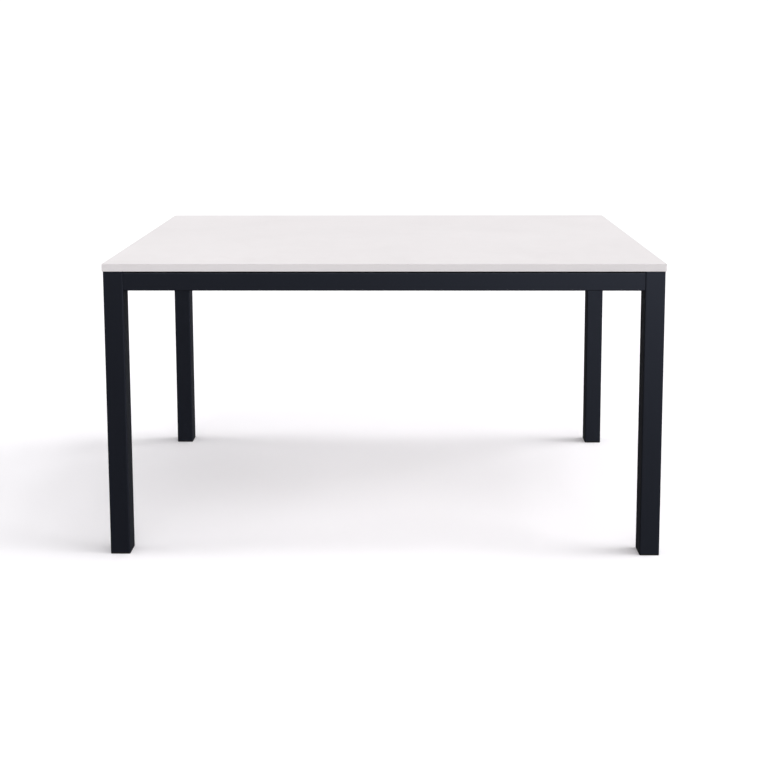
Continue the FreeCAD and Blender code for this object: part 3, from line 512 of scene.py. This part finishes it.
def rounded_head(tree, diameter, height, rounding):
    """Turned head with a rounded crown, on a seat at height zero."""
    radius = half(tree, diameter)
    inner, ease = part_of(tree, radius, rounding, -SEAT_EASE), part_of(tree, 0.0, rounding, SEAT_EASE)
    corners = [(0.0, 0.0), (inner, 0.0), (radius, ease)]
    for step in range(CROWN_STEPS):
        angle = math.radians(90) * step / (CROWN_STEPS - 1)
        corners.append((part_of(tree, radius, rounding, math.cos(angle) - 1),
                        part_of(tree, height, rounding, math.sin(angle) - 1)))
    corners.append((0.0, height))
    return turned(tree, corners, ROUND_FACETS)


def threaded(tree, diameter, length_below, pitch, share, point=None):
    """Threaded shank that hangs from height zero: a core, and a ridge wound round it."""
    radius = half(tree, diameter)
    depth = reckon(tree, "MULTIPLY", diameter, share / 2)
    core = reckon(tree, "SUBTRACT", radius, depth)
    end = minus(tree, length_below)
    if point is None:
        flat = part_of(tree, core, depth, -TIP_CHAMFER)
        tip = [(0.0, end), (flat, end), (core, reckon(tree, "ADD", end, depth))]
        run = reckon(tree, "SUBTRACT", length_below, pitch)
    else:
        tip = [(0.0, end), (core, reckon(tree, "ADD", end, point))]
        run = reckon(tree, "SUBTRACT", length_below, reckon(tree, "ADD", point, pitch))
    shank = turned(tree, tip + [(core, 0.0), (0.0, 0.0)], SHANK_FACETS)
    winding = add(tree, "GeometryNodeCurveSpiral", {
        "Resolution": THREAD_FACETS, "Rotations": reckon(tree, "DIVIDE", run, pitch), "Start Radius": core,
        "End Radius": core, "Height": run,
    }).outputs[0]
    level = add(tree, "GeometryNodeSetCurveNormal", {0: winding}, mode="Z_UP").outputs[0]
    section = add(tree, "GeometryNodeCurvePrimitiveCircle", {"Resolution": RIDGE_SIDES, "Radius": depth})
    ridge = add(tree, "GeometryNodeCurveToMesh", {
        "Curve": level, "Profile Curve": section.outputs[0], "Fill Caps": True,
    }).outputs[0]
    return [shank, moved(tree, ridge, part_of(tree, minus(tree, run), pitch, -0.5))]


def seat(tree, given, shapes):
    """Ends a tree: puts its shapes on every seat, each turned by its own amount, with its finish."""
    whole = add(tree, "GeometryNodeJoinGeometry", {0: shapes}).outputs[0]
    axis = add(tree, "GeometryNodeInputNamedAttribute", {"Name": "axis"}, data_type="FLOAT_VECTOR")
    facing = add(tree, "FunctionNodeAlignRotationToVector", {"Vector": axis.outputs[0]}, axis="Z").outputs[0]
    chance = add(tree, "FunctionNodeRandomValue", {2: 0.0, 3: math.tau, "Seed": SPIN_SEED},
                 data_type="FLOAT").outputs[1]
    spin = add(tree, "FunctionNodeAxisAngleToRotation", {"Axis": UP, "Angle": chance}).outputs[0]
    turn = add(tree, "FunctionNodeRotateRotation", {0: facing, 1: spin}, rotation_space="LOCAL").outputs[0]
    copies = add(tree, "GeometryNodeInstanceOnPoints",
                 {"Points": given["Seats"], "Instance": whole, "Rotation": turn}).outputs[0]
    solid = add(tree, "GeometryNodeRealizeInstances", {0: copies}).outputs[0]
    smooth = add(tree, "GeometryNodeSetShadeSmooth", {0: solid, "Shade Smooth": True},
                 domain="FACE").outputs[0]
    bend = add(tree, "GeometryNodeInputMeshEdgeAngle").outputs[0]
    sharp = add(tree, "FunctionNodeCompare", {0: bend, 1: SHARP}, operation="GREATER_THAN").outputs[0]
    crisp = add(tree, "GeometryNodeSetShadeSmooth", {0: smooth, "Selection": sharp, "Shade Smooth": False},
                domain="EDGE").outputs[0]
    finished = add(tree, "GeometryNodeSetMaterial", {0: crisp, "Material": given["Finish"]}).outputs[0]
    add(tree, "NodeGroupOutput", {0: finished})
    return tree


def rail_bolt_tree():
    """Button-head bolt with a hexagon socket."""
    tree, given = new_tree("rail_bolt", ("Head", "Head Height", "Rounding", "Socket", "Socket Depth",
                                         "Thread", "Length", "Pitch"))
    head = rounded_head(tree, given["Head"], given["Head Height"], given["Rounding"])
    key = moved(tree, hexagon(tree, given["Socket"], reckon(tree, "MULTIPLY", given["Socket Depth"], 2.0)),
                given["Head Height"])
    shank = threaded(tree, given["Thread"], given["Length"], given["Pitch"], BOLT_THREAD)
    return seat(tree, given, [carved(tree, "DIFFERENCE", head, [key]), *shank])


def leg_bolt_tree():
    """Hexagon-head bolt whose corners are turned off at the top."""
    tree, given = new_tree("leg_bolt", ("Head", "Head Height", "Thread", "Length", "Pitch"))
    middle = half(tree, given["Head Height"])
    prism = moved(tree, hexagon(tree, given["Head"], given["Head Height"]), middle)
    flat = part_of(tree, 0.0, given["Head"], HEAD_FLAT)
    wide = part_of(tree, 0.0, given["Head"], HEAD_REACH)
    below = minus(tree, middle)
    shoulder = part_of(tree, 0.0, given["Head Height"], HEAD_SHOULDER)
    blank = turned(tree, [(0.0, below), (wide, below), (wide, shoulder), (flat, given["Head Height"]),
                          (0.0, given["Head Height"])], BLANK_FACETS)
    shank = threaded(tree, given["Thread"], given["Length"], given["Pitch"], BOLT_THREAD)
    return seat(tree, given, [carved(tree, "INTERSECT", prism, [blank]), *shank])


def ring_tree(name, sizes, outline):
    """Turned ring round a bore, whose outline is worked out from its sizes."""
    tree, given = new_tree(name, sizes)
    corners = outline(tree, given)
    return seat(tree, given, [turned(tree, [*corners, corners[0]], ROUND_FACETS)])


def washer_outline(tree, given):
    """Flat ring with eased edges, from the bore's lower edge outwards and back."""
    bore, rim, top = half(tree, given["Bore"]), half(tree, given["Diameter"]), given["Thickness"]
    ease = part_of(tree, 0.0, top, WASHER_EASE)
    low, high = ease, reckon(tree, "SUBTRACT", top, ease)
    rim_in, bore_out = reckon(tree, "SUBTRACT", rim, ease), reckon(tree, "ADD", bore, ease)
    return [(bore, low), (bore_out, 0.0), (rim_in, 0.0), (rim, low),
            (rim, high), (rim_in, top), (bore_out, top), (bore, high)]


def rivet_outline(tree, given):
    """Barrel with its set bulge behind the rail's wall and its flange in front of it."""
    bore, barrel, bulge = (half(tree, given[size]) for size in ("Bore", "Barrel", "Bulge"))
    flange, thickness = half(tree, given["Flange"]), given["Flange Thickness"]
    end, wall = minus(tree, given["Length"]), minus(tree, given["Wall"])
    back = reckon(tree, "SUBTRACT", wall, given["Bulge Length"])
    ease = part_of(tree, 0.0, thickness, FLANGE_EASE)
    brow = part_of(tree, wall, given["Bulge Length"], -0.5)
    return [(bore, end), (part_of(tree, barrel, ease, -1.0), end), (barrel, reckon(tree, "ADD", end, ease)),
            (barrel, back), (bulge, brow), (part_of(tree, bulge, ease, -0.5), wall), (barrel, wall),
            (barrel, 0.0), (flange, 0.0), (flange, reckon(tree, "SUBTRACT", thickness, ease)),
            (part_of(tree, flange, ease, -1.0), thickness), (part_of(tree, bore, ease, 1.0), thickness),
            (bore, reckon(tree, "SUBTRACT", thickness, ease))]


def board_screw_tree():
    """Pan-head screw with a cross recess, a coarse thread and a point."""
    tree, given = new_tree("board_screw", ("Head", "Head Height", "Rounding", "Recess", "Slot",
                                           "Recess Depth", "Thread", "Length", "Point", "Pitch"))
    head = rounded_head(tree, given["Head"], given["Head Height"], given["Rounding"])
    deep = reckon(tree, "MULTIPLY", given["Recess Depth"], 2.0)
    slots = []
    for along, across in ((given["Recess"], given["Slot"]), (given["Slot"], given["Recess"])):
        size = add(tree, "ShaderNodeCombineXYZ", {0: along, 1: across, 2: deep}).outputs[0]
        slot = add(tree, "GeometryNodeMeshCube", {0: size}).outputs[0]
        slots.append(moved(tree, slot, given["Head Height"]))
    shank = threaded(tree, given["Thread"], given["Length"], given["Pitch"], SCREW_THREAD, given["Point"])
    return seat(tree, given, [carved(tree, "DIFFERENCE", head, slots), *shank])


def solids_of(node):
    """Points of each solid in a CAD node."""
    shape = bmesh.new()
    shape.from_mesh(frame["nodes"][node].data)
    bmesh.ops.remove_doubles(shape, verts=shape.verts, dist=WELD)
    left = set(shape.verts)
    solids = []
    while left:
        reached = [left.pop()]
        for vert in reached:
            near = {edge.other_vert(vert) for edge in vert.link_edges} & left
            left -= near
            reached.extend(near)
        solids.append([vert.co.copy() for vert in reached])
    shape.free()
    return solids


def box_of(points):
    """Lowest and highest corner of some points."""
    return tuple(Vector([pick(values) for values in zip(*points)]) for pick in (min, max))


def from_rail(low, high):
    """Level direction of a rail's fastener, from the rail to the middle of the table."""
    axis = 0 if high.x - low.x > high.y - low.y else 1
    facing = Vector()
    facing[axis] = -math.copysign(1, low[axis])
    return facing


def from_corner(low, high):
    """Level direction from a corner to the middle of the table."""
    return Vector((-math.copysign(1, low.x), -math.copysign(1, low.y), 0)).normalized()


def downwards(low, high):
    """Direction of a screw's head under the board."""
    return DOWN


def fit(piece_name, node, tree, sizes, facing_of, reach, material):
    """Puts a tree's fasteners where a CAD node's solids are. Each reaches past its seat by one distance."""
    seats = []
    for points in solids_of(node):
        low, high = box_of(points)
        middle, facing = (low + high) / 2, facing_of(low, high)
        end = max(point.dot(facing) for point in points)
        seats.append((middle + facing * (end - middle.dot(facing) - reach), facing))
    seats.sort(key=lambda entry: tuple(round(value, 4) for value in entry[0]))
    points = bpy.data.meshes.new(f"{piece_name}_seats")
    points.from_pydata([place for place, _ in seats], [], [])
    axes = points.attributes.new("axis", "FLOAT_VECTOR", "POINT")
    axes.data.foreach_set("vector", [value for _, facing in seats for value in facing])
    piece = bpy.data.objects.new(piece_name, points)
    bpy.context.scene.collection.objects.link(piece)
    modifier = piece.modifiers.new("fasteners", "NODES")
    modifier.node_group = tree
    for socket in tree.interface.items_tree:
        if socket.name in sizes:
            modifier[socket.identifier] = sizes[socket.name]
        elif socket.name == "Finish":
            modifier[socket.identifier] = material
    graph = bpy.context.evaluated_depsgraph_get()
    made = bpy.data.meshes.new_from_object(piece.evaluated_get(graph), depsgraph=graph)
    if not made.polygons:
        raise RuntimeError(f"{piece_name} came out empty")
    piece.modifiers.remove(modifier)
    piece.data = made
    made.name = piece_name
    bpy.data.meshes.remove(points)
    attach(piece, BODY)
    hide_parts(node)


def fastener_finish(colours):
    """The bright zinc that all fasteners share, made once."""
    made = bpy.data.materials.get("bright_zinc")
    return made or zinc("bright_zinc", colours.fastener_cool, colours.fastener_warm, FASTENER_POLISH)


# Operators


class TABLE_OT_finish_board(bpy.types.Operator):
    """Finish the board: its face, edge bands, backing and core"""

    bl_idname = "table.finish_board"
    bl_label = "Board"

    def execute(self, context):
        colours = context.scene.table_colours
        apply_finish("top_decor", face_laminate(colours))
        apply_finish("edge_decor", edge_band(colours))
        apply_finish("backing_sheet", backing_sheet(colours))
        apply_finish("board_core", chipboard(colours))
        return {"FINISHED"}


class TABLE_OT_finish_tubes(bpy.types.Operator):
    """Finish the legs and the rails"""

    bl_idname = "table.finish_tubes"
    bl_label = "Legs and rails"

    def execute(self, context):
        apply_finish("frame_coat", powder_coat(context.scene.table_colours))
        return {"FINISHED"}


class TABLE_OT_finish_plugs(bpy.types.Operator):
    """Finish the plugs at both ends of the legs"""

    bl_idname = "table.finish_plugs"
    bl_label = "Leg plugs"

    def execute(self, context):
        apply_finish("plug_plastic", grained_plastic(context.scene.table_colours))
        return {"FINISHED"}


class TABLE_OT_finish_strips(bpy.types.Operator):
    """Finish the soft strips between the rails and the board"""

    bl_idname = "table.finish_strips"
    bl_label = "Soft strips"

    def execute(self, context):
        apply_finish("strip_rubber", soft_rubber(context.scene.table_colours))
        return {"FINISHED"}


class TABLE_OT_finish_plates(bpy.types.Operator):
    """Finish the corner braces, the brackets and the threaded blocks"""

    bl_idname = "table.finish_plates"
    bl_label = "Braces and brackets"

    def execute(self, context):
        colours = context.scene.table_colours
        plate = zinc("zinc_plate", colours.plate_cool, colours.plate_warm, PLATE_POLISH)
        apply_finish("bracket_steel", plate)
        return {"FINISHED"}


class TABLE_OT_rail_bolts(bpy.types.Operator):
    """Fit the button-head bolts that hold the braces and the brackets"""

    bl_idname = "table.rail_bolts"
    bl_label = "Rail bolts"

    def execute(self, context):
        sizes = context.scene.table_fasteners
        given = {
            "Head": sizes.rail_bolt_head, "Head Height": sizes.rail_bolt_head_height,
            "Rounding": sizes.rail_bolt_round, "Socket": sizes.rail_bolt_socket,
            "Socket Depth": sizes.rail_bolt_socket_depth, "Thread": sizes.rail_bolt,
            "Length": sizes.rail_bolt_length, "Pitch": sizes.rail_bolt_pitch,
        }
        tree, finish = rail_bolt_tree(), fastener_finish(context.scene.table_colours)
        for node in ("brace_bolts", "bracket_bolts"):
            fit(f"fitted_{node}", node, tree, given, from_rail, sizes.rail_bolt_head_height, finish)
        return {"FINISHED"}


class TABLE_OT_leg_bolts(bpy.types.Operator):
    """Fit the hexagon-head bolts that pull the legs in, and their washers"""

    bl_idname = "table.leg_bolts"
    bl_label = "Leg bolts and washers"

    def execute(self, context):
        sizes, finish = context.scene.table_fasteners, fastener_finish(context.scene.table_colours)
        bolt = {
            "Head": sizes.leg_bolt_head, "Head Height": sizes.leg_bolt_head_height,
            "Thread": sizes.leg_bolt, "Length": sizes.leg_bolt_length, "Pitch": sizes.leg_bolt_pitch,
        }
        washer = {"Diameter": sizes.washer, "Bore": sizes.washer_bore, "Thickness": sizes.washer_thickness}
        fit("fitted_leg_bolts", "leg_bolts", leg_bolt_tree(), bolt, from_corner,
            sizes.leg_bolt_head_height, finish)
        ring = ring_tree("leg_bolt_washer", washer, washer_outline)
        fit("fitted_leg_bolt_washers", "leg_bolt_washers", ring, washer, from_corner,
            sizes.washer_thickness, finish)
        return {"FINISHED"}


class TABLE_OT_rivet_nuts(bpy.types.Operator):
    """Fit the rivet nuts in the rails"""

    bl_idname = "table.rivet_nuts"
    bl_label = "Rivet nuts"

    def execute(self, context):
        sizes, finish = context.scene.table_fasteners, fastener_finish(context.scene.table_colours)
        given = {
            "Barrel": sizes.rivet_barrel, "Bore": sizes.rivet_bore, "Length": sizes.rivet_length,
            "Flange": sizes.rivet_flange, "Flange Thickness": sizes.rivet_flange_thickness,
            "Bulge": sizes.rivet_bulge, "Bulge Length": sizes.rivet_bulge_length, "Wall": sizes.rail_wall,
        }
        ring = ring_tree("rivet_nut", given, rivet_outline)
        fit("fitted_rivet_nuts", "rivet_nuts", ring, given, from_rail, sizes.rivet_flange_thickness, finish)
        return {"FINISHED"}


class TABLE_OT_board_screws(bpy.types.Operator):
    """Fit the screws that hold the board on its brackets"""

    bl_idname = "table.board_screws"
    bl_label = "Board screws"

    def execute(self, context):
        sizes = context.scene.table_fasteners
        given = {
            "Head": sizes.board_screw_head, "Head Height": sizes.board_screw_head_height,
            "Rounding": sizes.board_screw_round, "Recess": sizes.recess_length,
            "Slot": sizes.recess_width, "Recess Depth": sizes.recess_depth, "Thread": sizes.board_screw,
            "Length": sizes.board_screw_length, "Point": sizes.board_screw_point,
            "Pitch": sizes.board_screw_pitch,
        }
        fit("fitted_board_screws", "board_screws", board_screw_tree(), given, downwards,
            sizes.board_screw_head_height, fastener_finish(context.scene.table_colours))
        return {"FINISHED"}


# Studio


def make_floor(settings, colours):
    """Pale studio floor, a little uneven in tone and clear from below."""
    reach = settings.floor_reach
    mesh = bpy.data.meshes.new("studio_floor")
    corners = [(-reach, -reach, 0), (reach, -reach, 0), (reach, reach, 0), (-reach, reach, 0)]
    mesh.from_pydata(corners, [], [(0, 1, 2, 3)])
    floor = bpy.data.objects.new("studio_floor", mesh)
    bpy.context.scene.collection.objects.link(floor)
    material, tree, shader, place = new_finish("pale_floor")
    haze = noise(tree, place, scale=1.5, detail=3)
    base = blend(tree, spread(tree, haze), colours.floor_deep, colours.floor_pale)
    dress(tree, shader, base, spread(tree, haze, low=0.85, high=0.95), specular=0.0)
    underside = add(tree, "ShaderNodeNewGeometry").outputs["Backfacing"]
    clear = add(tree, "ShaderNodeBsdfTransparent").outputs[0]
    surface = add(tree, "ShaderNodeMixShader", {0: underside, 1: shader.outputs[0], 2: clear}).outputs[0]
    tree.links.new(surface, tree.nodes["Material Output"].inputs["Surface"])
    mesh.materials.append(material)
    floor.visible_glossy = False


def make_sky(settings):
    """Dim walls under a bright ceiling, with a white backdrop behind the floor."""
    world = bpy.data.worlds.new("studio_room")
    world.use_nodes = True
    tree = world.node_tree
    direction = add(tree, "ShaderNodeTexCoord").outputs["Generated"]
    height = add(tree, "ShaderNodeSeparateXYZ", {0: direction}).outputs["Z"]
    light = add(tree, "ShaderNodeMapRange", {
        "Value": height, "From Min": 0, "From Max": settings.wall_top, "To Min": settings.walls,
        "To Max": settings.ceiling,
    }, interpolation_type="SMOOTHSTEP").outputs[0]
    path = add(tree, "ShaderNodeLightPath").outputs["Is Camera Ray"]
    room = tree.nodes["Background"]
    room.inputs["Color"].default_value = (1, 1, 1, 1)
    shown = spread(tree, path, low=light, high=settings.backdrop, start=0, end=1)
    tree.links.new(shown, room.inputs["Strength"])
    bpy.context.scene.world = world


def make_light(name, bearing, elevation, width, strength):
    """Distant soft light, with its angles in degrees."""
    lamp = bpy.data.lights.new(name, "SUN")
    lamp.energy = strength
    lamp.angle = math.radians(width)
    light = bpy.data.objects.new(name, lamp)
    light.rotation_euler = (0, math.radians(90 - elevation), math.radians(bearing))
    bpy.context.scene.collection.objects.link(light)


def make_lights(settings):
    """An arch of lights over the right end, three fills, and low lights that give the frame its gloss."""
    for elevation, width, strength in SIDE_ARCH:
        make_light(f"side_light_{elevation}", 0, elevation, width, settings.side_arch * strength)
    for name, (bearing, elevation, width) in LIGHT_PLACES.items():
        make_light(name, bearing, elevation, width, getattr(settings, name))


def make_camera(settings):
    """Camera at the photograph's viewing angle."""
    data = bpy.data.cameras.new("camera")
    data.lens = settings.lens
    data.shift_x = settings.shift_x
    data.shift_y = settings.shift_y
    # Far enough for the whole floor from every side
    data.clip_end = 4 * settings.floor_reach
    camera = bpy.data.objects.new("camera", data)
    camera.location = settings.station
    camera.rotation_euler = (math.radians(90) - settings.pitch, settings.tilt, settings.turn)
    bpy.context.scene.collection.objects.link(camera)
    bpy.context.scene.camera = camera


class TABLE_OT_stage(bpy.types.Operator):
    """Set the floor, the light and the camera"""

    bl_idname = "table.stage"
    bl_label = "Studio"

    def execute(self, context):
        settings = context.scene.table_stage
        make_floor(settings, context.scene.table_colours)
        make_sky(settings)
        make_lights(settings)
        make_camera(settings)
        context.scene.view_settings.view_transform = "Standard"
        return {"FINISHED"}


# Sidebar and start


class TABLE_PT_table(bpy.types.Panel):
    """Steps and settings of the table"""

    bl_idname = "TABLE_PT_table"
    bl_label = "Parsons dining table"
    bl_space_type = "VIEW_3D"
    bl_region_type = "UI"
    bl_category = "Table"

    def draw(self, context):
        for step in STEPS:
            self.layout.operator(step.bl_idname)
        for settings in GROUPS:
            box = self.layout.box()
            owner = getattr(context.scene, settings)
            for name in owner.__annotations__:
                box.prop(owner, name)


STEPS = (
    TABLE_OT_finish_board,
    TABLE_OT_finish_tubes,
    TABLE_OT_finish_plugs,
    TABLE_OT_finish_strips,
    TABLE_OT_finish_plates,
    TABLE_OT_rail_bolts,
    TABLE_OT_leg_bolts,
    TABLE_OT_rivet_nuts,
    TABLE_OT_board_screws,
    TABLE_OT_stage,
)
GROUPS = {
    "table_colours": TableColours,
    "table_fasteners": FastenerSizes,
    "table_stage": StageSettings,
}


def register():
    """Registers the settings, the steps and the panel."""
    for settings in GROUPS.values():
        bpy.utils.register_class(settings)
    for name, settings in GROUPS.items():
        setattr(bpy.types.Scene, name, PointerProperty(type=settings))
    for step in STEPS:
        bpy.utils.register_class(step)
    bpy.utils.register_class(TABLE_PT_table)


def unregister():
    """Takes back what register did."""
    bpy.utils.unregister_class(TABLE_PT_table)
    for step in reversed(STEPS):
        bpy.utils.unregister_class(step)
    for name, settings in GROUPS.items():
        delattr(bpy.types.Scene, name)
        bpy.utils.unregister_class(settings)


def main():
    """Runs every step in order."""
    register()
    for step in STEPS:
        group, name = step.bl_idname.split(".")
        getattr(getattr(bpy.ops, group), name)()


if __name__ == "__main__":
    main()
